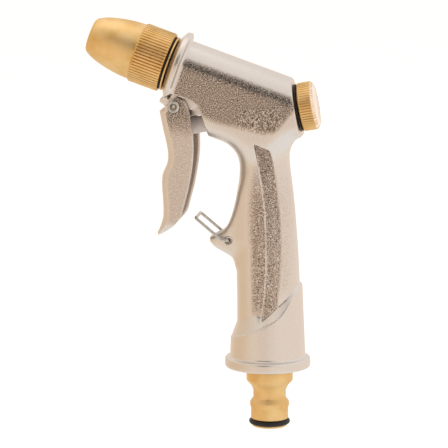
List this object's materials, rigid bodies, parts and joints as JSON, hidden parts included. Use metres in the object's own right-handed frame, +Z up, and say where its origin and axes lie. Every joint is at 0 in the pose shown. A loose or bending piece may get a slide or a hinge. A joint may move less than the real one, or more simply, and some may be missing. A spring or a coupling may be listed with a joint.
{
  "type": "hose spray nozzle",
  "caption": "Pistol-shaped garden hose spray nozzle with trigger valve, twist nozzle, flow knob, trigger lock bail and quick-connect tail.",
  "frame": {"origin": "centre of the quick-connect tail's bottom end, where the hose fitting holds the nozzle", "axes": "+Z up along the tail, +X to the rear (flow knob), the nozzle points to -X and up, Y across"},
  "size_m": [0.0916, 0.0334, 0.16],
  "materials": {
    "nickel_plate": "pearl nickel plate on cast alloy, satin with fine grain",
    "brass": "turned, satin",
    "stainless": "bright drawn wire and turned",
    "rubber": "matte black nitrile",
    "grey_plastic": "moulded acetal, satin"
  },
  "bodies": {
    "housing": {"body": "nickel_plate", "trigger_pin": "stainless", "nozzle_stem": "brass", "nozzle_o_ring": "rubber", "stem_gasket": "rubber", "gland_nut": "brass", "rod_o_ring": "rubber", "rear_bonnet": "brass", "bonnet_seal": "rubber", "hose_connector": "brass", "connector_o_ring": "rubber", "connector_gasket": "rubber"},
    "collar_ring": {"collar_ring": "rubber"},
    "nozzle_sleeve": {"nozzle_sleeve": "brass"},
    "plunger": {"plunger_cap": "grey_plastic", "valve_rod": "stainless", "valve_poppet": "brass", "valve_washer": "rubber", "poppet_nut": "stainless", "return_spring": "stainless"},
    "spindle_seal": {"spindle_o_ring": "rubber"},
    "flow_knob": {"flow_knob": "brass"},
    "trigger": {"trigger": "nickel_plate"},
    "lock_bail": {"lock_bail": "stainless"}
  },
  "joints": [
    {"name": "plunger_slide", "type": "slide", "parent": "housing", "child": "plunger", "axis": [0.9833, 0, 0.1822], "range_m": [0, 0.0019], "stiffness_N_per_m": 950, "springref_m": -0.012, "deforming": ["return_spring"]},
    {"name": "trigger_pivot", "type": "hinge", "parent": "housing", "child": "trigger", "pos_m": [-0.0362, 0, 0.1269], "axis": [0, -1, 0], "range_deg": [0, 10.9]},
    {"name": "nozzle_slide", "type": "slide", "parent": "housing", "child": "collar_ring", "axis": [-0.9426, 0, 0.3338], "range_m": [0, 0.00225]},
    {"name": "nozzle_twist", "type": "hinge", "parent": "collar_ring", "child": "nozzle_sleeve", "pos_m": [-0.0701, 0, 0.1533], "axis": [-0.9426, 0, 0.3338], "range_deg": [0, 541]},
    {"name": "knob_slide", "type": "slide", "parent": "housing", "child": "spindle_seal", "axis": [0.9833, 0, 0.1822], "range_m": [0, 0.0015]},
    {"name": "flow_knob_turn", "type": "hinge", "parent": "spindle_seal", "child": "flow_knob", "pos_m": [0.0106, 0, 0.126], "axis": [0.9833, 0, 0.1822], "range_deg": [0, 541]},
    {"name": "bail_swing", "type": "hinge", "parent": "housing", "child": "lock_bail", "pos_m": [-0.0155, 0, 0.0745], "axis": [0, 1, 0], "range_deg": [-124, 54]}
  ],
  "couplings": [
    {"joint": "trigger_pivot", "follows": "plunger_slide", "rad_per_m": 100},
    {"joint": "nozzle_twist", "follows": "nozzle_slide", "rad_per_m": 4188.8},
    {"joint": "flow_knob_turn", "follows": "knob_slide", "rad_per_m": 6283.2}
  ]
}
